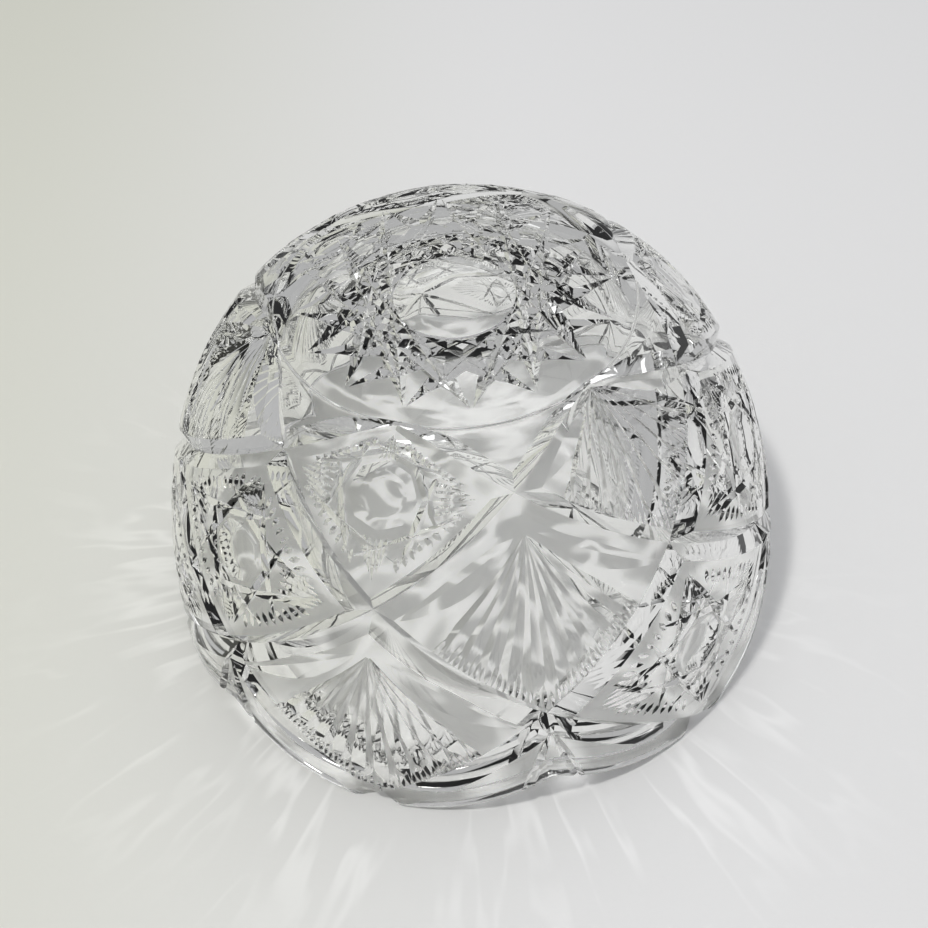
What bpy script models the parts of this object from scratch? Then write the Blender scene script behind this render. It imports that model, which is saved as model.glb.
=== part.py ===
"""A heavy one-piece pressed crystal bowl, standing upside down on its scalloped rim, with its foot on top.

The frame: +Z up, the bowl's axis on Z, the lobes of the rim standing on Z = 0.
"""

import math

import bmesh
import bpy
from mathutils import Vector

# Driving dimensions, in metres.
HEIGHT = 0.115
RIM_RADIUS = 0.103
FOOT_RADIUS = 0.052
WALL = 0.0065
BASE_THICKNESS = 0.010
FOOT_CHAMFER = 0.0015

# The scalloped rim: lobes that stand on the table, and how high the gaps between them reach.
LOBES = 6
LOBE_RISE = 0.014
LOBE_AZIMUTH = math.radians(-19.8)

# The lattice of V grooves on the side. A groove starts shallow at the foot and is full within half a row.
# The leftward grooves run a little deeper, so that no two bottoms meet in a point.
GROOVE_WIDTH = 0.0080
GROOVE_DEPTH = 0.0038
GROOVE_DEEPER = 0.00012
GROOVE_START_SHARE = 0.35
GROOVE_FULL_ROW = 0.5

# The star cut into the foot: straight grooves from point to point, skipping this many points.
STAR_POINTS = 16
STAR_CUTS = ((5, 0.0440), (6, 0.0465))
STAR_WIDTH = 0.0042
STAR_DEPTH = 0.0022
TIP_LENGTH = 0.012

# The round button in the middle of the star: a bevelled edge round a shallow dish.
BUTTON_RADIUS = 0.0187
DISH_RADIUS = 0.0156
BUTTON_EDGE_DEPTH = 0.0010
DISH_DEPTH = 0.0020

# The side's curve: how far its two handles stand out, and how high, as shares of the bowl's own sizes.
SHOULDER_OUT = 0.70
SHOULDER_HIGH = 0.82
BELLY_OUT = 0.94
BELLY_HIGH = 0.42

# Where the grooves cross, row by row from the foot down, as shares of the side's curve.
ROW_SHARES = (0.0, 0.155, 0.43, 0.72, 1.0)

# Fineness of the mesh, and how far a cutter stands clear of what it cuts.
TURN_STEPS = 48
SIDE_STEPS = 8
GROOVE_STEPS = 14
DISH_STEPS = 3
OVERCUT = 0.004

GLASS_COLOUR = (0.93, 0.94, 0.93, 1.0)


def clear_scene():
    for old in list(bpy.data.objects):
        bpy.data.objects.remove(old, do_unlink=True)


def new_collection(name):
    collection = bpy.data.collections.new(name)
    bpy.context.scene.collection.children.link(collection)
    return collection


def glass_material():
    material = bpy.data.materials.new("clear_crystal")
    material.use_nodes = True
    shader = material.node_tree.nodes["Principled BSDF"]
    shader.inputs["Base Color"].default_value = GLASS_COLOUR
    shader.inputs["Roughness"].default_value = 0.02
    shader.inputs["Metallic"].default_value = 0.0
    shader.inputs["Transmission Weight"].default_value = 1.0
    shader.inputs["IOR"].default_value = 1.52
    return material


def add_mesh_object(name, bm, collection):
    mesh = bpy.data.meshes.new(name)
    bm.to_mesh(mesh)
    bm.free()
    made = bpy.data.objects.new(name, mesh)
    collection.objects.link(made)
    return made


def turned(name, profile, collection):
    """A profile turned about Z into a closed body."""
    bm = bmesh.new()
    verts = [bm.verts.new((radius, 0.0, level)) for radius, level in profile]
    for first, second in zip(verts, verts[1:]):
        bm.edges.new((first, second))
    made = add_mesh_object(name, bm, collection)
    screw = made.modifiers.new("turn", "SCREW")
    screw.steps = TURN_STEPS
    screw.render_steps = TURN_STEPS
    screw.use_merge_vertices = True
    screw.merge_threshold = 0.00001
    return made


def around(radius, azimuth, level):
    """A point at an azimuth counted from the -Y side towards +X."""
    return Vector((radius * math.sin(azimuth), -radius * math.cos(azimuth), level))


def side_point(share, foot, rim, height):
    """Radius and level on a side curve, from the foot (share 0) to the rim (share 1)."""
    span = rim - foot
    radii = (foot, foot + SHOULDER_OUT * span, foot + BELLY_OUT * span, rim)
    levels = (height, SHOULDER_HIGH * height, BELLY_HIGH * height, 0.0)
    weights = [math.comb(3, i) * share**i * (1 - share) ** (3 - i) for i in range(4)]
    radius = sum(weight * r for weight, r in zip(weights, radii))
    level = sum(weight * z for weight, z in zip(weights, levels))
    return radius, level


def outer_point(share):
    return side_point(share, FOOT_RADIUS, RIM_RADIUS, HEIGHT)


def inner_point(share):
    return side_point(share, FOOT_RADIUS - WALL, RIM_RADIUS - WALL, HEIGHT - BASE_THICKNESS)


def bowl_profile():
    """The turned section, from the foot's centre down the outside and up the inside."""
    points = [(0.0, HEIGHT), (FOOT_RADIUS - FOOT_CHAMFER, HEIGHT)]
    for step in range(1, SIDE_STEPS + 1):
        points.append(outer_point(step / SIDE_STEPS))
    points.append((RIM_RADIUS, -OVERCUT))
    points.append((RIM_RADIUS - WALL, -OVERCUT))
    for step in range(SIDE_STEPS, -1, -1):
        points.append(inner_point(step / SIDE_STEPS))
    points.append((0.0, HEIGHT - BASE_THICKNESS))
    return points


def lobe_height(azimuth):
    """How high the rim stands above the table: nothing under each lobe, most in the gaps."""
    half = math.pi / LOBES
    turned_by = (azimuth - LOBE_AZIMUTH + half) % (2 * half) - half
    return LOBE_RISE * (turned_by / half) ** 2


def rim_cutter(collection):
    """A drum whose top rises and falls, which trims the rim into lobes."""
    reach = 1.5 * RIM_RADIUS
    middle_of_wall = RIM_RADIUS - 0.5 * WALL
    bm = bmesh.new()
    bmesh.ops.create_cone(
        bm,
        cap_ends=True,
        cap_tris=True,
        segments=2 * TURN_STEPS,
        radius1=reach,
        radius2=reach,
        depth=HEIGHT,
    )
    for vert in bm.verts:
        if vert.co.z < 0:
            vert.co.z = -HEIGHT
            continue
        away = math.hypot(vert.co.x, vert.co.y)
        vert.co.z = lobe_height(math.atan2(vert.co.x, -vert.co.y)) * away / middle_of_wall
    return add_mesh_object("rim_cutter", bm, collection)


def row_curve(row):
    """The share of the side's curve at a row of the lattice, smooth between the rows."""
    total = 0.0
    for i, share in enumerate(ROW_SHARES):
        term = share
        for j in range(len(ROW_SHARES)):
            if j != i:
                term *= (row - j) / (i - j)
        total += term
    return total


def lattice_point(turn, row):
    """A point on the skin: turn counts half lobes round the bowl, row counts down from the foot."""
    radius, level = outer_point(row_curve(row))
    return around(radius, LOBE_AZIMUTH + turn * math.pi / LOBES, level)


def lattice_normal(turn, row):
    step = 0.001
    round_bowl = lattice_point(turn + step, row) - lattice_point(turn - step, row)
    share = row_curve(row)
    azimuth = LOBE_AZIMUTH + turn * math.pi / LOBES
    above = around(outer_point(share - step)[0], azimuth, outer_point(share - step)[1])
    below = around(outer_point(share + step)[0], azimuth, outer_point(share + step)[1])
    return (below - above).cross(round_bowl).normalized()


def v_bar(name, stations, collection):
    """A V-shaped bar through stations of (point, outward normal, direction across, half width, depth)."""
    bm = bmesh.new()
    rings = []
    for point, normal, across, half, depth in stations:
        top = point + normal * OVERCUT
        section = (point - normal * depth, top + across * half, top - across * half)
        rings.append([bm.verts.new(corner) for corner in section])
    bm.faces.new(rings[0])
    bm.faces.new(reversed(rings[-1]))
    for first, second in zip(rings, rings[1:]):
        for i in range(3):
            j = (i + 1) % 3
            bm.faces.new((first[i], second[i], second[j], first[j]))
    bmesh.ops.recalc_face_normals(bm, faces=bm.faces)
    return add_mesh_object(name, bm, collection)


def lattice_cutters(collection):
    """The grooves that run down the side both ways from the foot and cross in rows."""
    first_row = -0.05
    last_row = len(ROW_SHARES) - 1 + 0.2
    slope = 0.5 * GROOVE_WIDTH / GROOVE_DEPTH
    for lobe in range(LOBES):
        for way in (-1, 1):
            stations = []
            for step in range(GROOVE_STEPS + 1):
                row = first_row + (last_row - first_row) * step / GROOVE_STEPS
                turn = 2 * lobe + way * row
                point = lattice_point(turn, row)
                ahead = lattice_point(turn + way * 0.01, row + 0.01)
                normal = lattice_normal(turn, row)
                across = (ahead - point).cross(normal).normalized()
                opened = min(1.0, max(row, 0.0) / GROOVE_FULL_ROW)
                depth = GROOVE_DEPTH * (GROOVE_START_SHARE + (1 - GROOVE_START_SHARE) * opened)
                if way < 0:
                    depth += GROOVE_DEEPER
                stations.append((point, normal, across, slope * (depth + OVERCUT), depth))
            v_bar(f"groove_{lobe}_{'left' if way < 0 else 'right'}", stations, collection)


def star_cutters(collection):
    """Straight grooves across the foot, which run out to a tip at both ends."""
    up = Vector((0.0, 0.0, 1.0))
    slope = 0.5 * STAR_WIDTH / STAR_DEPTH
    tip_lift = 0.1 * STAR_DEPTH
    for skip, reach in STAR_CUTS:
        for number in range(STAR_POINTS):
            first = LOBE_AZIMUTH + 2 * math.pi * number / STAR_POINTS
            start = around(reach, first, HEIGHT)
            end = around(reach, first + 2 * math.pi * skip / STAR_POINTS, HEIGHT)
            along = (end - start).normalized()
            across = along.cross(up)
            stations = []
            for point, depth in (
                (start, -tip_lift),
                (start + along * TIP_LENGTH, STAR_DEPTH),
                (end - along * TIP_LENGTH, STAR_DEPTH),
                (end, -tip_lift),
            ):
                stations.append((point, up, across, slope * (depth + OVERCUT), depth))
            v_bar(f"star_{skip}_{number:02d}", stations, collection)


def button_cutter(collection):
    """The plug that leaves the button: its underside is a bevelled edge and a shallow dish."""
    profile = [(0.0, HEIGHT + OVERCUT), (BUTTON_RADIUS, HEIGHT + OVERCUT), (BUTTON_RADIUS, HEIGHT)]
    for step in range(DISH_STEPS):
        share = 1 - step / DISH_STEPS
        dish = BUTTON_EDGE_DEPTH + (DISH_DEPTH - BUTTON_EDGE_DEPTH) * (1 - share**2)
        profile.append((DISH_RADIUS * share, HEIGHT - dish))
    profile.append((0.0, HEIGHT - DISH_DEPTH))
    return turned("button_cutter", profile, collection)


def cut(bowl, cutter):
    modifier = bowl.modifiers.new(cutter.name, "BOOLEAN")
    modifier.operation = "DIFFERENCE"
    modifier.solver = "MANIFOLD"
    modifier.object = cutter


def main():
    clear_scene()
    parts = new_collection("crystal_bowl")
    cutters = new_collection("cutters")
    cutters.hide_render = True
    bowl = turned("bowl", bowl_profile(), parts)
    bowl.data.materials.append(glass_material())
    rim_cutter(cutters)
    lattice_cutters(cutters)
    star_cutters(cutters)
    button_cutter(cutters)
    for cutter in cutters.objects:
        cutter.hide_render = True
        cutter.display_type = "WIRE"
        cut(bowl, cutter)


main()
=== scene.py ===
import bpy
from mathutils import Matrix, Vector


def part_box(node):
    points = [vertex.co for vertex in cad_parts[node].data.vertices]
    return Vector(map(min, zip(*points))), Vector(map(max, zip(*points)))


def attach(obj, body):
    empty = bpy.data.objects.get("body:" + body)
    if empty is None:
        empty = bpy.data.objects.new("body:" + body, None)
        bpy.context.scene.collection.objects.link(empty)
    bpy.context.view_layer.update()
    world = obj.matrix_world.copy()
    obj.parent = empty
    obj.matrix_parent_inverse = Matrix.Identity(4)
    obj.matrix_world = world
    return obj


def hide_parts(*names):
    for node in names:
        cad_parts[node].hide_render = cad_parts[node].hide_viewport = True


bl_info = {
    "name": "Crystal Bowl",
    "version": (1, 0, 0),
    "blender": (4, 5, 0),
    "location": "View3D > Sidebar > Crystal Bowl",
    "description": "Makes a pressed crystal bowl with fans and hobstars, upside down on its rim",
    "category": "Add Mesh",
}

import math

import bmesh
import bpy
import numpy as np
from bpy.props import FloatProperty, FloatVectorProperty, IntProperty, PointerProperty
from mathutils import Matrix, Vector

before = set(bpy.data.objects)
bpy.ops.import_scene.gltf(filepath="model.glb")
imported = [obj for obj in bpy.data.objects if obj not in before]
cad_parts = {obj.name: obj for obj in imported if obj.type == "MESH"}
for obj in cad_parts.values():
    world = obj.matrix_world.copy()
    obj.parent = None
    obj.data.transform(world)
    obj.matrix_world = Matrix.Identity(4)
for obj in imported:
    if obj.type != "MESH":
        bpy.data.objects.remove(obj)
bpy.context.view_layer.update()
BOWL_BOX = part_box("bowl")
BOWL_BODY = "root"

# The side's curve and the rows where its grooves cross, as in the CAD.
SHOULDER_OUT, SHOULDER_HIGH = 0.70, 0.82
BELLY_OUT, BELLY_HIGH = 0.94, 0.42
ROW_SHARES = (0.0, 0.155, 0.43, 0.72, 1.0)
LOBES = 6

# Where the step at the foot's edge turns in and meets the side, in heights of the step.
STEP_TURN, STEP_END = 1.2, 1.3

# The share of the inner side where the wall turns into the inside floor, and how far in from the
# wall the round between them and a flat ring after it reach.
FLOOR_TURN = 0.06
FLOOR_ROUND_IN, FLOOR_FLAT_IN = 0.008, 0.012

# How far a cutter stands clear of the skin, and the material slot of the faces that it makes.
PROUD = 0.003
CUT_SLOT = 1

# A cutter's faces that meet at less than this angle shade as one smooth face.
CREASE = math.radians(24)

# How deep a cut runs from one end to the other, in shares of its full depth. Below nothing, the
# cutter's end stands clear of the skin, so that the cut runs out.
FLUTE_RUN = (0.06, 0.2, 0.35, 0.5, 0.65, 0.8, 0.92, 0.8, -0.12)
WING_RUN = (-0.1, 0.4, 0.75, 1.0, 1.0, 0.75, 0.4, -0.1)
CHORD_RUN = (-0.1, 0.6, 0.9, 1.0, 1.0, 0.9, 0.6, -0.1)
CORNER_RUN = (-0.1, 1.0, 1.0, 0.6, -0.1)
SHORT_RUN = (-0.1, 1.0, 1.0, -0.1)
RIB_RUN = (-0.1, 0.6, 1.0, 1.0, 1.0)
FOOT_STAR_RUN = (-0.1, 1.0, 0.45, 1.0, -0.1)

# Half a cut's width over its depth.
FRINGE_SLOPE = 0.95
WING_SLOPE = 2.6
CHORD_SLOPE = 0.85
CORNER_SLOPE = 0.9
BORDER_SLOPE = 1.1
BAND_SLOPE = 1.6
RIB_SLOPE = 1.1

# The lattice's grooves: the rows where they start and end, and the share of their depth that they
# start with and the rows over which they open to all of it.
GROOVE_STEPS = 56
GROOVE_START, GROOVE_END = -0.05, len(ROW_SHARES) - 1 + 0.2
GROOVE_OPENS_FROM, GROOVE_OPENS_OVER = 0.35, 0.5

# The foot's star: how many points each line skips and how far out it ends, and how far from its
# ends it is deepest.
FOOT_STAR_LINES = ((5, 0.0440), (6, 0.0465))
FOOT_STAR_TIP = 0.012

# A dish's outer and inner radius, the depths of its edge and of its middle, and its sides.
FOOT_DISH_RADII, FOOT_DISH_DEPTHS, FOOT_DISH_SIDES = (0.0187, 0.0156), (0.0016, 0.0024), 32
BUTTON_DEPTHS, BUTTON_SIDES = (0.0014, 0.0017), 8

# The ring between a dish's edge and its middle, in shares of the inner radius and of the dip.
DISH_RING_OUT, DISH_RING_DEEP = 0.62, 0.7

# A fan's flutes spread from a point so many half heights over its cell's middle, higher in the
# row next to the foot, and this far to each side.
FAN_APEX, FIRST_FAN_APEX = 0.66, 0.86
FAN_SPREAD = math.radians(38)

# How far from that point a flute starts, half its width in pitches, and how much of the cell the
# flutes and the fringe leave clear along the border.
FLUTE_START = 0.001
FLUTE_FILL = 0.52
FLUTE_MARGIN, FRINGE_MARGIN = 0.16, 0.10

# The fringe's cuts are short and long in turn.
FRINGES_PER_FLUTE = 4
FRINGE_LENGTHS = (0.0075, 0.0105)

# The facet on each side of a fan: where it starts and ends, in half widths and half heights.
WING_IN, WING_OUT, WING_DOWN = 0.06, 0.84, 0.02
WING_DEPTH = 0.0016

# A hobstar's long cuts: how far out they pass, in button radii, how much of the cell they leave
# clear along the border, and how far they reach at most.
CHORDS = 8
CHORD_OUT = 1.06
CHORD_MARGIN, CHORD_REACH = 0.26, 0.030

# The small cuts in a hobstar's corners: where they start and end, in shares of the cell, how much
# shorter each is than the one inside it, the degrees between them, the share of that turn left at
# their ends, and their depth in shares of a long cut's.
CORNER_CUTS = range(-2, 3)
CORNER_NEAR, CORNER_FAR = 0.36, 0.72
CORNER_SHORTER = 0.0015
CORNER_TURN, CORNER_CLOSING = 9, 0.3
CORNER_DEPTH = 0.8

# The small cuts along a hobstar's borders: where the row of them starts and how long it is, where
# each starts and ends, in shares of the way to the border, and how far it leans.
BORDER_CUTS = 9
BORDER_FIRST, BORDER_SPAN = 0.2, 0.6
BORDER_OUTER, BORDER_INNER, BORDER_LEAN = 0.78, 0.60, 0.001

# The rim: the stations of its band's line, and the rows and the spread of the cuts beside a rib.
BAND_STEPS = 28
RIB_ROWS = (3.06, 3.75)
RIB_SPREAD = 0.15

# The ripple on the fire-polished skin and in the cuts, as noise scales.
SKIN_RIPPLE_SCALE, CUT_RIPPLE_SCALE = 45.0, 160.0

# The room's colour, and each light's place, size and colour.
ROOM_COLOUR = (0.98, 0.985, 1.0, 1.0)
KEY_LIGHT = ((-0.45, -0.33, 1.5), 0.12, (1.0, 0.99, 0.96))
FILL_LIGHT = ((0.3, 0.5, 1.9), 1.6, (0.98, 0.99, 1.0))
LIT_POINT = Vector((0.0, 0.0, 0.05))
FLOOR_SIZE = 8.0
GLASS_BOUNCES = 32


class CrystalBowlSizes(bpy.types.PropertyGroup):
    """The sizes that set the bowl and its cutting"""

    height: FloatProperty(
        name="Height",
        description="From the rim's lobes to the foot",
        default=BOWL_BOX[1].z,
        unit="LENGTH",
    )
    rim_radius: FloatProperty(
        name="Rim radius",
        description="Radius over the lobes of the rim",
        default=0.103,
        unit="LENGTH",
    )
    foot_radius: FloatProperty(
        name="Foot radius", description="Radius of the foot's edge", default=0.052, unit="LENGTH"
    )
    foot_step: FloatProperty(
        name="Foot step",
        description="How far the foot stands out of the side",
        default=0.0007,
        unit="LENGTH",
    )
    wall: FloatProperty(
        name="Wall",
        description="Thickness of the wall",
        default=0.0065,
        unit="LENGTH",
    )
    base: FloatProperty(
        name="Base",
        description="Thickness of the base",
        default=0.010,
        unit="LENGTH",
    )
    rounding: FloatProperty(
        name="Rounding",
        description="Fire-polished round on the rim and the foot",
        default=0.0011,
        unit="LENGTH",
    )
    lobe_rise: FloatProperty(
        name="Lobe rise",
        description="How high the rim's gaps reach over its lobes",
        default=0.014,
        unit="LENGTH",
    )
    lobe_azimuth: FloatProperty(
        name="Lobe azimuth",
        description="Where the first lobe stands",
        default=math.radians(-19.8),
        unit="ROTATION",
    )
    groove_width: FloatProperty(
        name="Groove width",
        description="Width of the lattice's grooves",
        default=0.0088,
        unit="LENGTH",
    )
    groove_depth: FloatProperty(
        name="Groove depth",
        description="Depth of the lattice's grooves",
        default=0.0036,
        unit="LENGTH",
    )
    fan_flutes: IntProperty(name="Fan flutes", description="Flutes in each fan", default=10, min=3)
    fan_depth: FloatProperty(
        name="Fan depth",
        description="Depth of a flute at its wide end",
        default=0.0029,
        unit="LENGTH",
    )
    fringe_depth: FloatProperty(
        name="Fringe depth",
        description="Depth of the short cuts between the flutes",
        default=0.0008,
        unit="LENGTH",
    )
    star_depth: FloatProperty(
        name="Hobstar depth",
        description="Depth of the hobstar's long cuts",
        default=0.0015,
        unit="LENGTH",
    )
    button_radius: FloatProperty(
        name="Button radius",
        description="Outer radius of a hobstar's button",
        default=0.0105,
        unit="LENGTH",
    )
    disc_radius: FloatProperty(
        name="Disc radius",
        description="Radius of the flat in a hobstar's button",
        default=0.0072,
        unit="LENGTH",
    )
    rib_depth: FloatProperty(
        name="Rib depth",
        description="Depth of the cuts beside the ribs in the rim's gaps",
        default=0.0016,
        unit="LENGTH",
    )
    band_height: FloatProperty(
        name="Band height",
        description="Height of the plain band along the rim",
        default=0.0085,
        unit="LENGTH",
    )
    band_depth: FloatProperty(
        name="Band depth",
        description="Depth of the line over the rim's band",
        default=0.0010,
        unit="LENGTH",
    )
    foot_star_points: IntProperty(
        name="Foot star points",
        description="Points of the foot's star",
        default=16,
    )
    foot_star_depth: FloatProperty(
        name="Foot star depth",
        description="Depth of the foot star's grooves",
        default=0.0021,
        unit="LENGTH",
    )
    foot_star_width: FloatProperty(
        name="Foot star width",
        description="Width of the foot star's grooves",
        default=0.0040,
        unit="LENGTH",
    )


class CrystalBowlFinish(bpy.types.PropertyGroup):
    """The glass"""

    tint: FloatVectorProperty(
        name="Tint",
        description="Colour of the clear glass",
        subtype="COLOR",
        size=4,
        default=(0.992, 0.994, 0.978, 1),
    )
    index: FloatProperty(name="Index", description="Refractive index of the glass", default=1.52)
    ripple: FloatProperty(
        name="Ripple",
        description="Unevenness of the fire-polished skin",
        default=0.02,
    )
    smudge: FloatProperty(name="Smudge", description="Roughness of handling marks", default=0.03)


class CrystalBowlStudio(bpy.types.PropertyGroup):
    """The floor, the lights and the camera"""

    floor_colour: FloatVectorProperty(
        name="Floor",
        description="Colour of the pale floor",
        subtype="COLOR",
        size=4,
        default=(0.82, 0.82, 0.825, 1),
    )
    # Painted shade: the floor is painted darker and warmer towards its left, for the dimmer, warmer
    # light there.
    floor_painted_shade: FloatVectorProperty(
        name="Painted floor shade",
        description="Its colour on the left",
        subtype="COLOR",
        size=4,
        default=(0.69, 0.695, 0.62, 1),
    )
    # Painted caustic light: how brightly the floor glows with a painted net of light under the bowl
    # and painted wisps round it.
    painted_caustics_inside: FloatProperty(
        name="Painted caustics inside",
        description="Brightness of the net of light under the bowl",
        default=0.36,
    )
    painted_caustics_outside: FloatProperty(
        name="Painted caustics outside",
        description="Brightness of the wisps of light round the bowl",
        default=0.10,
    )
    room_strength: FloatProperty(
        name="Room",
        description="Strength of the light from all round",
        default=0.45,
    )
    key_power: FloatProperty(
        name="Key",
        description="Power of the small light on the left",
        default=9.0,
        unit="POWER",
    )
    fill_power: FloatProperty(
        name="Fill",
        description="Power of the wide light overhead",
        default=8.0,
        unit="POWER",
    )
    camera_distance: FloatProperty(
        name="Camera distance",
        description="From the camera to the point it looks at",
        default=0.452,
        unit="LENGTH",
    )
    camera_pitch: FloatProperty(
        name="Camera pitch",
        description="How steeply the camera looks down",
        default=math.radians(48.8),
        unit="ROTATION",
    )
    camera_roll: FloatProperty(
        name="Camera roll",
        description="How far the camera leans",
        default=math.radians(-4.5),
        unit="ROTATION",
    )
    camera_target: FloatVectorProperty(
        name="Camera target",
        description="The point on the floor it looks at",
        default=(-0.001, 0.0363, 0.0),
    )
    focal_length: FloatProperty(
        name="Focal length",
        description="Lens, in millimetres",
        default=46.55,
    )


# ---------------------------------------------------------------- the bowl's skin


def side_point(sizes, share, inside=False):
    """Radius and level on the side, from the foot (share 0) to the rim's plane (share 1)."""
    foot = sizes.foot_radius - (sizes.wall if inside else 0.0)
    rim = sizes.rim_radius - (sizes.wall if inside else 0.0)
    height = sizes.height - (sizes.base if inside else 0.0)
    span = rim - foot
    radii = (foot, foot + SHOULDER_OUT * span, foot + BELLY_OUT * span, rim)
    levels = (height, SHOULDER_HIGH * height, BELLY_HIGH * height, 0.0)
    weights = [math.comb(3, i) * share**i * (1 - share) ** (3 - i) for i in range(4)]
    radius = sum(weight * r for weight, r in zip(weights, radii))
    level = sum(weight * z for weight, z in zip(weights, levels))
    return radius, level


def side_slope(sizes, share):
    """The outward direction of the outer side, as radial and upward parts."""
    step = 0.001
    above = side_point(sizes, share - step)
    below = side_point(sizes, share + step)
    along = np.array([below[0] - above[0], below[1] - above[1]])
    along /= np.sqrt((along**2).sum(axis=0))
    return -along[1], along[0]


def share_at_level(sizes, level, inside=False):
    """The share of a side curve where it passes a level."""
    shares = np.linspace(1.0, 0.0, 400)
    levels = side_point(sizes, shares, inside)[1]
    return np.interp(level, levels, shares)


def lobe_height(sizes, azimuth):
    """How high the rim stands above the table: nothing under a lobe, most in a gap."""
    half = math.pi / LOBES
    turned_by = (azimuth - sizes.lobe_azimuth + half) % (2 * half) - half
    return sizes.lobe_rise * (abs(turned_by) / half) ** 2


def around(radius, azimuth, level):
    """A point at an azimuth counted from the -Y side towards +X."""
    return Vector((radius * math.sin(azimuth), -radius * math.cos(azimuth), level))


def row_curve(row):
    """The share of the side's curve at a row of the lattice, smooth between the rows."""
    total = 0.0
    for i, share in enumerate(ROW_SHARES):
        term = share
        for j in range(len(ROW_SHARES)):
            if j != i:
                term *= (row - j) / (i - j)
        total += term
    return total


def lattice_point(sizes, turn, row):
    """A point on the skin: turn counts half lobes round the bowl, row counts down from the foot."""
    radius, level = side_point(sizes, row_curve(row))
    return around(radius, sizes.lobe_azimuth + turn * math.pi / LOBES, level)


def lattice_normal(sizes, turn, row):
    """The outward direction of the skin at a lattice place."""
    out, up = side_slope(sizes, row_curve(row))
    return around(out, sizes.lobe_azimuth + turn * math.pi / LOBES, up)


# ---------------------------------------------------------------- modelling


def deselect_all():
    for thing in bpy.context.selected_objects:
        thing.select_set(False)


def make_active(thing):
    deselect_all()
    thing.select_set(True)
    bpy.context.view_layer.objects.active = thing


def put_away(thing):
    """Takes an object out of every collection, so that only its mesh is used."""
    for collection in thing.users_collection:
        collection.objects.unlink(thing)


def quarter_round(start, corner, end, steps):
    """Points round a corner, from start to end."""
    points = []
    for step in range(steps + 1):
        t = step / steps
        shares = ((1 - t) ** 2, 2 * t * (1 - t), t**2)
        points.append(
            tuple(
                shares[0] * a + shares[1] * c + shares[2] * b
                for a, c, b in zip(start, corner, end)
            )
        )
    return points


def meridian(sizes, azimuth, side_steps, round_steps):
    """The bowl's section at one azimuth, down the outside and up the inside to the floor."""
    rim_level = lobe_height(sizes, azimuth)
    soft = sizes.rounding
    foot = sizes.foot_radius
    height = sizes.height
    step = sizes.foot_step

    half = 0.5 * soft
    points = [(foot - 2 * soft, height)]
    edge_round = ((foot - half, height), (foot, height), (foot, height - half))
    points += quarter_round(*edge_round, round_steps)

    first = float(share_at_level(sizes, height - STEP_END * step))
    last = float(share_at_level(sizes, rim_level + soft))
    turn = (foot, height - STEP_TURN * step)
    points += quarter_round((foot, height - step), turn, side_point(sizes, first), 2)
    for i in range(1, side_steps):
        points.append(side_point(sizes, first + (last - first) * i / side_steps))

    outer = side_point(sizes, last)
    inner_last = float(share_at_level(sizes, rim_level + soft, True))
    inner = side_point(sizes, inner_last, True)
    outer_round = (outer, (outer[0], rim_level), (outer[0] - soft, rim_level))
    inner_round = ((inner[0] + soft, rim_level), (inner[0], rim_level), inner)
    points += quarter_round(*outer_round, round_steps)
    points += quarter_round(*inner_round, round_steps)

    for i in range(1, side_steps + 1):
        share = inner_last + (FLOOR_TURN - inner_last) * i / side_steps
        points.append(side_point(sizes, share, True))
    wall, floor = sizes.foot_radius - sizes.wall, height - sizes.base
    floor_round = (points[-1], (wall, floor), (wall - FLOOR_ROUND_IN, floor))
    points += quarter_round(*floor_round, 2 * round_steps)[1:]
    points.append((wall - FLOOR_FLAT_IN, floor))
    return points


def turned_bowl(sizes, turn_steps=144, side_steps=30, round_steps=3):
    """The plain bowl before any cutting: its section turned round the axis, with a lobed rim."""
    bm = bmesh.new()
    rings = []
    for turn in range(turn_steps):
        azimuth = 2 * math.pi * turn / turn_steps
        section = meridian(sizes, azimuth, side_steps, round_steps)
        rings.append([bm.verts.new(around(radius, azimuth, level)) for radius, level in section])
    top = bm.verts.new((0.0, 0.0, sizes.height))
    floor = bm.verts.new((0.0, 0.0, sizes.height - sizes.base))
    for turn in range(turn_steps):
        here, there = rings[turn], rings[(turn + 1) % turn_steps]
        for i in range(len(here) - 1):
            bm.faces.new((here[i], here[i + 1], there[i + 1], there[i]))
        bm.faces.new((top, here[0], there[0]))
        bm.faces.new((floor, there[-1], here[-1]))
    bmesh.ops.recalc_face_normals(bm, faces=bm.faces)
    mesh = bpy.data.meshes.new("crystal_bowl")
    bm.to_mesh(mesh)
    bm.free()
    bowl = bpy.data.objects.new("crystal_bowl", mesh)
    bpy.context.scene.collection.objects.link(bowl)
    return bowl


def bar_template(stations):
    """A three-sided bar of so many stations. Each cutter bends its own copy along its cut."""
    deselect_all()
    bpy.ops.mesh.primitive_circle_add(vertices=3, radius=1.0, fill_type="NGON")
    bar = bpy.context.object
    bpy.ops.object.mode_set(mode="EDIT")
    bpy.ops.mesh.select_all(action="SELECT")
    for _ in range(stations - 1):
        one_up = {"value": (0.0, 0.0, 1.0)}
        bpy.ops.mesh.extrude_region_move(TRANSFORM_OT_translate=one_up)
    bpy.ops.mesh.select_all(action="SELECT")
    bpy.ops.mesh.normals_make_consistent(inside=False)
    bpy.ops.object.mode_set(mode="OBJECT")
    bar.name = f"bar_{stations}"
    put_away(bar)
    order = []
    for vert in bar.data.vertices:
        third = round(3 * math.atan2(vert.co.x, vert.co.y) / (2 * math.pi)) % 3
        order.append((round(vert.co.z), third))
    return bar.data, order


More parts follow.
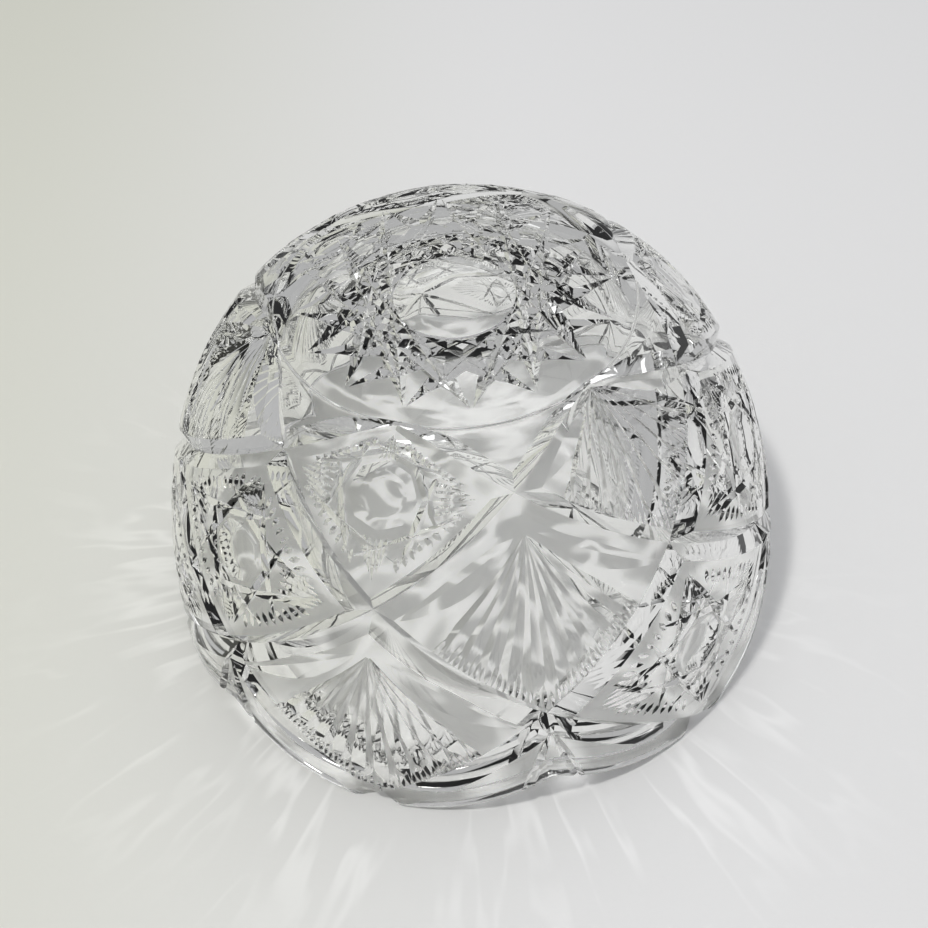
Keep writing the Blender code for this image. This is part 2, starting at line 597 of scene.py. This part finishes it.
class Cutters:
    """Collects the bowl's cutters in sets, in each of which no two cutters touch."""

    def __init__(self, sizes):
        self.sizes = sizes
        self.sets = {}
        self.templates = {}

    def add(self, thing, name):
        bpy.context.scene.collection.objects.link(thing)
        self.sets.setdefault(name, []).append(thing)

    def bar(self, stations, slope, name):
        """A V bar through stations of (point, outward normal, depth)."""
        count = len(stations)
        if count not in self.templates:
            self.templates[count] = bar_template(count)
        template, order = self.templates[count]
        corners = []
        for i, (point, normal, depth) in enumerate(stations):
            ahead = stations[min(i + 1, count - 1)][0] - stations[max(i - 1, 0)][0]
            across = ahead.cross(normal).normalized()
            half = slope * (depth + PROUD)
            top = point + normal * PROUD
            corners.append((point - normal * depth, top + across * half, top - across * half))
        mesh = template.copy()
        places = np.array([corners[station][corner] for station, corner in order], np.float32)
        mesh.vertices.foreach_set("co", places.ravel())
        self.add(bpy.data.objects.new("cut", mesh), name)

    def along_skin(self, start, end, depth, run, slope, name):
        """A cut along the skin between two lattice places, its depth shared out by run."""
        stations = []
        for i, share in enumerate(run):
            t = i / (len(run) - 1)
            turn = start[0] + (end[0] - start[0]) * t
            row = start[1] + (end[1] - start[1]) * t
            point = lattice_point(self.sizes, turn, row)
            stations.append((point, lattice_normal(self.sizes, turn, row), depth * share))
        self.bar(stations, slope, name)

    def cut(self, bowl):
        """Joins each set into one cutter and takes it from the bowl, then drops it."""
        store_facing(bowl.data, math.pi, 1)
        for name, things in self.sets.items():
            make_active(things[0])
            for thing in things:
                thing.select_set(True)
            bpy.ops.object.join()
            cutter = bpy.context.object
            cutter.data.materials.clear()
            for material in bowl.data.materials:
                cutter.data.materials.append(material)
            faces = cutter.data.polygons
            faces.foreach_set("material_index", [CUT_SLOT] * len(faces))
            store_facing(cutter.data, CREASE, -1)
            make_active(bowl)
            modifier = bowl.modifiers.new(name, "BOOLEAN")
            modifier.operation = "DIFFERENCE"
            modifier.solver = "MANIFOLD"
            modifier.object = cutter
            bpy.ops.object.modifier_apply(modifier=modifier.name)
            bpy.data.objects.remove(cutter)


class Cell:
    """One diamond of the lattice, measured flat from its middle in metres: x right and y down."""

    def __init__(self, sizes, turn, row):
        """The cell whose top corner is the crossing at this turn and row."""
        self.turn = turn
        self.row = row + 1
        radius = side_point(sizes, row_curve(self.row))[0]
        self.half_width = radius * math.pi / LOBES
        above = lattice_point(sizes, turn, self.row - 1)
        below = lattice_point(sizes, turn, self.row + 1)
        self.half_height = 0.5 * (below - above).length

    def place(self, x, y):
        """The lattice place of a point of the cell."""
        return self.turn + x / self.half_width, self.row + y / self.half_height

    def along(self, x, y, dx, dy, distance):
        """The lattice place at a distance from a point in a direction."""
        return self.place(x + distance * dx, y + distance * dy)

    def reach(self, x, y, dx, dy, margin):
        """How far a ray runs from a point to the cell's border, less a margin given as a share."""
        best = 1.0
        for sx in (-1, 1):
            for sy in (-1, 1):
                rate = sx * dx / self.half_width + sy * dy / self.half_height
                gap = 1 - margin - sx * x / self.half_width - sy * y / self.half_height
                if rate > 1e-9:
                    best = min(best, max(gap, 0.0) / rate)
        return best


def cut_lattice(cutters, sizes):
    """The grooves that run down the side both ways from the foot and cross in rows."""
    slope = 0.5 * sizes.groove_width / sizes.groove_depth
    for lobe in range(LOBES):
        for way in (-1, 1):
            stations = []
            for step in range(GROOVE_STEPS + 1):
                row = GROOVE_START + (GROOVE_END - GROOVE_START) * step / GROOVE_STEPS
                turn = 2 * lobe + way * row
                opened = min(1.0, max(row, 0.0) / GROOVE_OPENS_OVER)
                share = GROOVE_OPENS_FROM + (1 - GROOVE_OPENS_FROM) * opened
                point, normal = lattice_point(sizes, turn, row), lattice_normal(sizes, turn, row)
                stations.append((point, normal, sizes.groove_depth * share))
            cutters.bar(stations, slope, f"groove {way}")


def cut_foot(cutters, sizes):
    """The star in the foot, and the dish in its middle."""
    up = Vector((0.0, 0.0, 1.0))
    points = sizes.foot_star_points
    depth = sizes.foot_star_depth
    slope = 0.5 * sizes.foot_star_width / depth
    for skip, reach in FOOT_STAR_LINES:
        for number in range(points):
            azimuth = sizes.lobe_azimuth + 2 * math.pi * number / points
            start = around(reach, azimuth, sizes.height)
            end = around(reach, azimuth + 2 * math.pi * skip / points, sizes.height)
            tip = (end - start).normalized() * FOOT_STAR_TIP
            places = (start, start + tip, 0.5 * (start + end), end - tip, end)
            stations = [(place, up, depth * share) for place, share in zip(places, FOOT_STAR_RUN)]
            cutters.bar(stations, slope, f"star {skip} {number % (points // 2)}")
    middle = Vector((0.0, 0.0, sizes.height))
    dish(cutters, middle, up, FOOT_DISH_RADII, FOOT_DISH_DEPTHS, FOOT_DISH_SIDES)


def dish(cutters, centre, normal, radii, depths, sides):
    """A plug that leaves a bevelled edge round a shallow dish."""
    outer, inner = radii
    edge_depth, depth = depths
    deselect_all()
    bpy.ops.mesh.primitive_cylinder_add(
        vertices=sides, radius=1.0, depth=1.0, end_fill_type="TRIFAN"
    )
    plug = bpy.context.object
    put_away(plug)
    turn_to = normal.to_track_quat("Z", "Y").to_matrix()
    bm = bmesh.new()
    bm.from_mesh(plug.data)
    bottom = [face for face in bm.faces if face.normal.z < -0.5]
    bmesh.ops.inset_region(bm, faces=bottom, thickness=0.3, use_even_offset=True)
    flare = PROUD / edge_depth
    for vert in bm.verts:
        flat = Vector((vert.co.x, vert.co.y))
        in_middle = flat.length < 1e-6
        if vert.co.z > 0:
            radius, level = outer + (outer - inner) * flare, PROUD
        elif flat.length > 0.9:
            radius, level = inner, -edge_depth
        else:
            radius = DISH_RING_OUT * inner
            level = -(edge_depth + DISH_RING_DEEP * (depth - edge_depth))
        if in_middle:
            radius, level = 0.0, PROUD if vert.co.z > 0 else -depth
        way = Vector((0.0, 0.0)) if in_middle else flat.normalized()
        vert.co = centre + turn_to @ Vector((way.x * radius, way.y * radius, level))
    bmesh.ops.recalc_face_normals(bm, faces=bm.faces)
    bm.to_mesh(plug.data)
    bm.free()
    cutters.add(plug, "buttons")


def cut_fan(cutters, sizes, cell):
    """Flutes that spread from a point near the cell's top, with short cuts between their tips."""
    apex = (0.0, -(FAN_APEX if cell.row > 1 else FIRST_FAN_APEX) * cell.half_height)
    depth = sizes.fan_depth
    pitch = 2 * FAN_SPREAD / (sizes.fan_flutes - 1)
    for flute in range(sizes.fan_flutes):
        angle = -FAN_SPREAD + pitch * flute
        ray = (*apex, math.sin(angle), math.cos(angle))
        reach = cell.reach(*ray, FLUTE_MARGIN)
        slope = FLUTE_FILL * reach * pitch / depth
        start, end = cell.along(*ray, FLUTE_START), cell.along(*ray, reach)
        cutters.along_skin(start, end, depth, FLUTE_RUN, slope, f"flute {flute}")
    fringe = FRINGES_PER_FLUTE * sizes.fan_flutes
    depth = sizes.fringe_depth
    for cut in range(fringe):
        angle = -FAN_SPREAD - 0.5 * pitch + (2 * FAN_SPREAD + pitch) * (cut + 0.5) / fringe
        ray = (*apex, math.sin(angle), math.cos(angle))
        far = cell.reach(*ray, FRINGE_MARGIN)
        start, end = cell.along(*ray, far - FRINGE_LENGTHS[cut % 2]), cell.along(*ray, far)
        cutters.along_skin(start, end, depth, SHORT_RUN, FRINGE_SLOPE, f"fringe {cut % 2}")
    for side in (-1, 1):
        start = cell.place(side * WING_IN * cell.half_width, apex[1])
        end = cell.place(side * WING_OUT * cell.half_width, WING_DOWN * cell.half_height)
        cutters.along_skin(start, end, WING_DEPTH, WING_RUN, WING_SLOPE, f"wing {side}")


def cut_hobstar(cutters, sizes, cell):
    """A button in a star of long cuts, with small cuts in the corners and along the borders."""
    for chord in range(CHORDS):
        angle = 2 * math.pi * (chord + 0.5) / CHORDS
        nx, ny = math.cos(angle), math.sin(angle)
        x, y = nx * sizes.button_radius * CHORD_OUT, ny * sizes.button_radius * CHORD_OUT
        start, end = (
            cell.along(*ray, min(cell.reach(*ray, CHORD_MARGIN), CHORD_REACH))
            for ray in ((x, y, ny, -nx), (x, y, -ny, nx))
        )
        name = f"chord {chord % (CHORDS // 2)}"
        cutters.along_skin(start, end, sizes.star_depth, CHORD_RUN, CHORD_SLOPE, name)
    centre = lattice_point(sizes, cell.turn, cell.row)
    normal = lattice_normal(sizes, cell.turn, cell.row)
    radii = (sizes.button_radius, sizes.disc_radius)
    dish(cutters, centre, normal, radii, BUTTON_DEPTHS, BUTTON_SIDES)
    depth = CORNER_DEPTH * sizes.star_depth
    for corner in range(4):
        axis = 0.5 * math.pi * corner
        size = cell.half_width if corner % 2 == 0 else cell.half_height
        for cut in CORNER_CUTS:
            near, far = CORNER_NEAR * size, CORNER_FAR * size - CORNER_SHORTER * abs(cut)
            angle = axis + math.radians(CORNER_TURN * cut)
            closing = axis + CORNER_CLOSING * (angle - axis)
            start = cell.place(near * math.cos(angle), near * math.sin(angle))
            end = cell.place(far * math.cos(closing), far * math.sin(closing))
            cutters.along_skin(start, end, depth, CORNER_RUN, CORNER_SLOPE, f"corner {cut}")
    depth = sizes.fringe_depth
    for sx, sy in ((-1, -1), (-1, 1), (1, -1), (1, 1)):
        for cut in range(BORDER_CUTS):
            t = BORDER_FIRST + BORDER_SPAN * cut / (BORDER_CUTS - 1)
            x, y = sx * t * cell.half_width, sy * (1 - t) * cell.half_height
            start = cell.place(BORDER_OUTER * x, BORDER_OUTER * y)
            end = cell.place(BORDER_INNER * x + BORDER_LEAN * sx, BORDER_INNER * y)
            cutters.along_skin(start, end, depth, SHORT_RUN, BORDER_SLOPE, f"border {cut % 2}")


def cut_rim(cutters, sizes):
    """A line along the rim's band, and the two cuts that leave a rib in each gap between lobes."""
    half = math.pi / LOBES
    for lobe in range(LOBES):
        middle = sizes.lobe_azimuth + 2 * half * lobe
        stations = []
        for step in range(BAND_STEPS + 1):
            azimuth = middle - half + 2 * half * step / BAND_STEPS
            level = lobe_height(sizes, azimuth) + sizes.band_height
            share = float(share_at_level(sizes, level))
            radius, level = side_point(sizes, share)
            out, up = side_slope(sizes, share)
            place, normal = around(radius, azimuth, level), around(out, azimuth, up)
            stations.append((place, normal, sizes.band_depth))
        cutters.bar(stations, BAND_SLOPE, f"band {lobe % 2}")
        gap = 2 * lobe + 1
        for side in (-1, 1):
            start, end = (gap, RIB_ROWS[0]), (gap + RIB_SPREAD * side, RIB_ROWS[1])
            cutters.along_skin(start, end, sizes.rib_depth, RIB_RUN, RIB_SLOPE, f"rib {side}")


def cut_cells(cutters, sizes):
    """Fans and hobstars: the strips between the leftward grooves have one or the other in turn."""
    for row in range(3):
        for step in range(LOBES):
            turn = 2 * step + row % 2
            strip = (turn + row) // 2
            cell = Cell(sizes, turn, row)
            if strip % 2:
                cut_fan(cutters, sizes, cell)
            else:
                cut_hobstar(cutters, sizes, cell)


# ---------------------------------------------------------------- shading normals


def store_facing(mesh, crease, sign):
    """Keeps each corner's smooth direction in an attribute, which the Booleans carry over."""
    mesh.shade_smooth()
    mesh.set_sharp_from_angle(angle=crease)
    facing = np.empty(len(mesh.loops) * 3, np.float32)
    mesh.corner_normals.foreach_get("vector", facing)
    stored = mesh.attributes.new("facing", "FLOAT_VECTOR", "CORNER")
    stored.data.foreach_set("vector", sign * facing)


def wear_facing(mesh):
    """Turns the attribute into the mesh's own normals."""
    facing = np.empty(len(mesh.loops) * 3, np.float32)
    mesh.attributes["facing"].data.foreach_get("vector", facing)
    facing = facing.reshape(-1, 3)
    facing /= np.maximum(np.linalg.norm(facing, axis=1, keepdims=True), 1e-6)
    mesh.attributes.remove(mesh.attributes["facing"])
    mesh.shade_smooth()
    mesh.normals_split_custom_set(facing.tolist())


# ---------------------------------------------------------------- materials


def glass_surface_group():
    """Faint ripple of the fire-polished glass and light handling marks, for both glasses."""
    group = bpy.data.node_groups.new("GlassSurface", "ShaderNodeTree")
    for name, kind, in_out, value in (
        ("Vector", "NodeSocketVector", "INPUT", None),
        ("Base Roughness", "NodeSocketFloat", "INPUT", 0.0),
        ("Smudge", "NodeSocketFloat", "INPUT", 0.03),
        ("Ripple Scale", "NodeSocketFloat", "INPUT", 60.0),
        ("Roughness", "NodeSocketFloat", "OUTPUT", None),
        ("Height", "NodeSocketFloat", "OUTPUT", None),
    ):
        socket = group.interface.new_socket(name, in_out=in_out, socket_type=kind)
        if value is not None:
            socket.default_value = value
    nodes, links = group.nodes, group.links
    enter = nodes.new("NodeGroupInput")
    leave = nodes.new("NodeGroupOutput")
    ripple = nodes.new("ShaderNodeTexNoise")
    ripple.inputs["Detail"].default_value = 3.0
    links.new(enter.outputs["Vector"], ripple.inputs["Vector"])
    links.new(enter.outputs["Ripple Scale"], ripple.inputs["Scale"])
    links.new(ripple.outputs["Fac"], leave.inputs["Height"])
    marks = nodes.new("ShaderNodeTexNoise")
    marks.inputs["Scale"].default_value = 35.0
    marks.inputs["Detail"].default_value = 6.0
    marks.inputs["Roughness"].default_value = 0.7
    links.new(enter.outputs["Vector"], marks.inputs["Vector"])
    spread = nodes.new("ShaderNodeMapRange")
    spread.inputs["From Min"].default_value = 0.55
    spread.inputs["From Max"].default_value = 0.8
    links.new(marks.outputs["Fac"], spread.inputs["Value"])
    scaled = nodes.new("ShaderNodeMath")
    scaled.operation = "MULTIPLY_ADD"
    links.new(spread.outputs["Result"], scaled.inputs[0])
    links.new(enter.outputs["Smudge"], scaled.inputs[1])
    links.new(enter.outputs["Base Roughness"], scaled.inputs[2])
    links.new(scaled.outputs["Value"], leave.inputs["Roughness"])
    return group


def glass_material(name, finish, group, ripple_scale, ripple):
    """Clear glass with a ripple of this scale and strength."""
    material = bpy.data.materials.new(name)
    material.use_nodes = True
    nodes, links = material.node_tree.nodes, material.node_tree.links
    shader = nodes["Principled BSDF"]
    shader.inputs["Base Color"].default_value = finish.tint
    shader.inputs["Metallic"].default_value = 0.0
    shader.inputs["Transmission Weight"].default_value = 1.0
    shader.inputs["IOR"].default_value = finish.index
    coords = nodes.new("ShaderNodeTexCoord")
    surface = nodes.new("ShaderNodeGroup")
    surface.node_tree = group
    surface.inputs["Smudge"].default_value = finish.smudge
    surface.inputs["Ripple Scale"].default_value = ripple_scale
    links.new(coords.outputs["Object"], surface.inputs["Vector"])
    links.new(surface.outputs["Roughness"], shader.inputs["Roughness"])
    bump = nodes.new("ShaderNodeBump")
    bump.inputs["Strength"].default_value = ripple
    bump.inputs["Distance"].default_value = 0.001
    links.new(surface.outputs["Height"], bump.inputs["Height"])
    links.new(bump.outputs["Normal"], shader.inputs["Normal"])
    return material


def maths(nodes, links, operation, *values):
    """A Math node fed by sockets or plain numbers. Returns its output."""
    node = nodes.new("ShaderNodeMath")
    node.operation = operation
    for socket, value in zip(node.inputs, values):
        if isinstance(value, bpy.types.NodeSocket):
            links.new(value, socket)
        else:
            socket.default_value = value
    return node.outputs["Value"]


def faded(nodes, links, value, start, end):
    """Runs smoothly from 0 at start to 1 at end."""
    node = nodes.new("ShaderNodeMapRange")
    node.interpolation_type = "SMOOTHSTEP"
    links.new(value, node.inputs["Value"])
    node.inputs["From Min"].default_value = start
    node.inputs["From Max"].default_value = end
    return node.outputs["Result"]


def off_middle(nodes, links, value):
    """How far a noise is from its middle value: small along thin winding lines."""
    return maths(nodes, links, "ABSOLUTE", maths(nodes, links, "SUBTRACT", value, 0.5))


def painted_caustics_group():
    """Painted caustic light, glowing on the table in place of the light that cut glass throws on
    it: a net inside a circle, and wisps out of it.
    """
    # How finely the painted wisps of light are split round the bowl, and how fast they change on
    # the way out.
    rays, drift = 9.0, 16.0
    # The painted wisps are brightest to the front and the left, and the painted net of light never
    # quite goes out.
    towards_front, towards_left = -0.8, 0.45
    net_floor = 0.08
    edge = 0.004
    group = bpy.data.node_groups.new("PaintedCausticLight", "ShaderNodeTree")
    group.interface.new_socket("Vector", in_out="INPUT", socket_type="NodeSocketVector")
    for name, value in (("Radius", 0.1), ("Reach", 0.075), ("Inside", 0.5), ("Outside", 0.15)):
        socket = group.interface.new_socket(name, in_out="INPUT", socket_type="NodeSocketFloat")
        socket.default_value = value
    group.interface.new_socket("Emission", in_out="OUTPUT", socket_type="NodeSocketFloat")
    nodes, links = group.nodes, group.links
    enter = nodes.new("NodeGroupInput")
    leave = nodes.new("NodeGroupOutput")
    length = nodes.new("ShaderNodeVectorMath")
    length.operation = "LENGTH"
    links.new(enter.outputs["Vector"], length.inputs[0])
    away = length.outputs["Value"]
    direction = nodes.new("ShaderNodeVectorMath")
    direction.operation = "NORMALIZE"
    links.new(enter.outputs["Vector"], direction.inputs[0])
    parts = nodes.new("ShaderNodeSeparateXYZ")
    links.new(direction.outputs["Vector"], parts.inputs["Vector"])
    polar = nodes.new("ShaderNodeCombineXYZ")
    links.new(maths(nodes, links, "MULTIPLY", parts.outputs["X"], rays), polar.inputs["X"])
    links.new(maths(nodes, links, "MULTIPLY", parts.outputs["Y"], rays), polar.inputs["Y"])
    links.new(maths(nodes, links, "MULTIPLY", away, drift), polar.inputs["Z"])
    wisps = nodes.new("ShaderNodeTexNoise")
    for name, value in (("Scale", 1.0), ("Detail", 2.0), ("Distortion", 0.15)):
        wisps.inputs[name].default_value = value
    links.new(polar.outputs["Vector"], wisps.inputs["Vector"])
    front = maths(nodes, links, "MULTIPLY", parts.outputs["Y"], towards_front)
    left = maths(nodes, links, "MULTIPLY", parts.outputs["X"], towards_left)
    front = maths(nodes, links, "SUBTRACT", front, left)
    net = nodes.new("ShaderNodeTexNoise")
    for name, value in (("Scale", 22.0), ("Detail", 2.0), ("Distortion", 0.5)):
        net.inputs[name].default_value = value
    links.new(enter.outputs["Vector"], net.inputs["Vector"])
    past = maths(nodes, links, "SUBTRACT", away, enter.outputs["Radius"])
    outside = faded(nodes, links, past, -edge, edge)
    share = maths(nodes, links, "DIVIDE", past, enter.outputs["Reach"])
    near = maths(nodes, links, "SUBTRACT", 1.0, faded(nodes, links, share, 0.05, 1.0))
    # Painted caustic light: bright thin wisps outside the bowl and a bright net under it, summed
    # into the floor's emission.
    wisp = faded(nodes, links, off_middle(nodes, links, wisps.outputs["Fac"]), 0.06, 0.0)
    wisp = maths(nodes, links, "MULTIPLY", wisp, faded(nodes, links, front, -0.45, 0.45))
    gate = faded(nodes, links, net.outputs["Fac"], 0.38, 0.60)
    wisp = maths(nodes, links, "MULTIPLY", wisp, gate)
    wisp = maths(nodes, links, "MULTIPLY", wisp, maths(nodes, links, "MULTIPLY", near, outside))
    wisp = maths(nodes, links, "MULTIPLY", wisp, enter.outputs["Outside"])
    inside = maths(nodes, links, "SUBTRACT", 1.0, outside)
    bright = faded(nodes, links, off_middle(nodes, links, net.outputs["Fac"]), 0.09, 0.0)
    bright = maths(nodes, links, "MULTIPLY", bright, 1.0 - net_floor)
    bright = maths(nodes, links, "ADD", bright, net_floor)
    inside = maths(nodes, links, "MULTIPLY", inside, enter.outputs["Inside"])
    bright = maths(nodes, links, "MULTIPLY", bright, inside)
    links.new(maths(nodes, links, "ADD", wisp, bright), leave.inputs["Emission"])
    return group


def floor_material(studio):
    """A pale matt floor with painted darker, warmer shade on the left and painted caustic light
    from the glass glowing on it.
    """
    material = bpy.data.materials.new("pale_floor")
    material.use_nodes = True
    nodes, links = material.node_tree.nodes, material.node_tree.links
    shader = nodes["Principled BSDF"]
    shader.inputs["Specular IOR Level"].default_value = 0.2
    shader.inputs["Roughness"].default_value = 0.75
    # The floor glows with the painted caustic light at its own brightness.
    shader.inputs["Emission Strength"].default_value = 1.0
    coords = nodes.new("ShaderNodeTexCoord")
    parts = nodes.new("ShaderNodeSeparateXYZ")
    links.new(coords.outputs["Object"], parts.inputs["Vector"])
    # Painted shade: the floor's colour runs from the darker, warmer painted shade on the left to
    # the pale floor colour on the right.
    painted_shade_mix = nodes.new("ShaderNodeMix")
    painted_shade_mix.data_type = "RGBA"
    colours = [socket for socket in painted_shade_mix.inputs if socket.type == "RGBA"]
    colours[0].default_value = studio.floor_painted_shade
    colours[1].default_value = studio.floor_colour
    links.new(faded(nodes, links, parts.outputs["X"], -0.26, 0.06), painted_shade_mix.inputs["Factor"])
    result = next(socket for socket in painted_shade_mix.outputs if socket.type == "RGBA")
    links.new(result, shader.inputs["Base Color"])
    # Painted caustic light: emission on the floor in place of the light that the glass throws
    # there.
    painted_caustics_node = nodes.new("ShaderNodeGroup")
    painted_caustics_node.node_tree = painted_caustics_group()
    painted_caustics_node.inputs["Inside"].default_value = studio.painted_caustics_inside
    painted_caustics_node.inputs["Outside"].default_value = studio.painted_caustics_outside
    links.new(coords.outputs["Object"], painted_caustics_node.inputs["Vector"])
    links.new(painted_caustics_node.outputs["Emission"], shader.inputs["Emission Color"])
    grain = nodes.new("ShaderNodeTexNoise")
    grain.inputs["Scale"].default_value = 900.0
    links.new(coords.outputs["Object"], grain.inputs["Vector"])
    bump = nodes.new("ShaderNodeBump")
    bump.inputs["Strength"].default_value = 0.08
    bump.inputs["Distance"].default_value = 0.0005
    links.new(grain.outputs["Fac"], bump.inputs["Height"])
    links.new(bump.outputs["Normal"], shader.inputs["Normal"])
    return material


# ---------------------------------------------------------------- operators


class CRYSTALBOWL_OT_bowl(bpy.types.Operator):
    """Model the bowl and cut its lattice, fans, hobstars and foot star"""

    bl_idname = "crystalbowl.bowl"
    bl_label = "Crystal Bowl"

    def execute(self, context):
        sizes = context.scene.crystal_bowl_sizes
        finish = context.scene.crystal_bowl_finish
        bowl = turned_bowl(sizes)
        group = glass_surface_group()
        for name, scale, ripple in (
            ("polished_crystal", SKIN_RIPPLE_SCALE, finish.ripple),
            ("cut_crystal", CUT_RIPPLE_SCALE, 0.5 * finish.ripple),
        ):
            bowl.data.materials.append(glass_material(name, finish, group, scale, ripple))
        cutters = Cutters(sizes)
        cut_lattice(cutters, sizes)
        cut_cells(cutters, sizes)
        cut_rim(cutters, sizes)
        cut_foot(cutters, sizes)
        cutters.cut(bowl)
        wear_facing(bowl.data)
        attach(bowl, BOWL_BODY)
        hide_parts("bowl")
        return {"FINISHED"}


class CRYSTALBOWL_OT_stage(bpy.types.Operator):
    """Set up the pale floor, the soft lights and the camera"""

    bl_idname = "crystalbowl.stage"
    bl_label = "Stage"

    def execute(self, context):
        studio = context.scene.crystal_bowl_studio
        deselect_all()
        bpy.ops.mesh.primitive_plane_add(size=FLOOR_SIZE, location=(0.0, 0.0, 0.0))
        floor = context.object
        floor.name = "floor"
        floor.data.materials.append(floor_material(studio))
        world = bpy.data.worlds.new("room")
        world.use_nodes = True
        room = world.node_tree.nodes["Background"]
        room.inputs["Color"].default_value = ROOM_COLOUR
        room.inputs["Strength"].default_value = studio.room_strength
        context.scene.world = world
        context.scene.view_settings.view_transform = "Standard"
        context.scene.cycles.max_bounces = GLASS_BOUNCES
        context.scene.cycles.transmission_bounces = GLASS_BOUNCES
        context.scene.cycles.use_denoising = True
        self.add_light("key_light", studio.key_power, *KEY_LIGHT)
        self.add_light("fill_light", studio.fill_power, *FILL_LIGHT)
        self.place_camera(context, studio)
        return {"FINISHED"}

    def add_light(self, name, power, place, size, colour):
        """A square lamp that faces the bowl."""
        bpy.ops.object.light_add(type="AREA", location=place)
        light = bpy.context.object
        light.name = name
        light.data.size = size
        light.data.energy = power
        light.data.color = colour
        light.rotation_euler = (LIT_POINT - light.location).to_track_quat("-Z", "Y").to_euler()

    def place_camera(self, context, studio):
        """The camera looks forward and down at its target, leaning by its roll."""
        pitch, roll = studio.camera_pitch, studio.camera_roll
        forward = Vector((0.0, math.cos(pitch), -math.sin(pitch)))
        level = Vector((1.0, 0.0, 0.0))
        upright = level.cross(forward)
        right = level * math.cos(roll) + upright * math.sin(roll)
        up = upright * math.cos(roll) - level * math.sin(roll)
        turned = Matrix((right, up, -forward)).transposed().to_4x4()
        place = Vector(studio.camera_target) - forward * studio.camera_distance
        bpy.ops.object.camera_add(location=place)
        camera = context.object
        camera.matrix_world = Matrix.Translation(place) @ turned
        camera.data.lens = studio.focal_length
        camera.data.clip_start = 0.01
        context.scene.camera = camera


class CRYSTALBOWL_PT_panel(bpy.types.Panel):
    """Lists the bowl's sizes, finish and stage"""

    bl_idname = "CRYSTALBOWL_PT_panel"
    bl_label = "Crystal Bowl"
    bl_space_type = "VIEW_3D"
    bl_region_type = "UI"
    bl_category = "Crystal Bowl"

    def draw(self, context):
        for group in (
            context.scene.crystal_bowl_sizes,
            context.scene.crystal_bowl_finish,
            context.scene.crystal_bowl_studio,
        ):
            box = self.layout.box()
            for name in group.__annotations__:
                box.prop(group, name)
        self.layout.operator(CRYSTALBOWL_OT_bowl.bl_idname)
        self.layout.operator(CRYSTALBOWL_OT_stage.bl_idname)


CLASSES = (
    CrystalBowlSizes,
    CrystalBowlFinish,
    CrystalBowlStudio,
    CRYSTALBOWL_OT_bowl,
    CRYSTALBOWL_OT_stage,
    CRYSTALBOWL_PT_panel,
)


def register():
    for cls in CLASSES:
        bpy.utils.register_class(cls)
    bpy.types.Scene.crystal_bowl_sizes = PointerProperty(type=CrystalBowlSizes)
    bpy.types.Scene.crystal_bowl_finish = PointerProperty(type=CrystalBowlFinish)
    bpy.types.Scene.crystal_bowl_studio = PointerProperty(type=CrystalBowlStudio)


def unregister():
    del bpy.types.Scene.crystal_bowl_studio
    del bpy.types.Scene.crystal_bowl_finish
    del bpy.types.Scene.crystal_bowl_sizes
    for cls in reversed(CLASSES):
        bpy.utils.unregister_class(cls)


def main():
    register()
    bpy.ops.crystalbowl.bowl()
    bpy.ops.crystalbowl.stage()


if __name__ == "__main__":
    main()
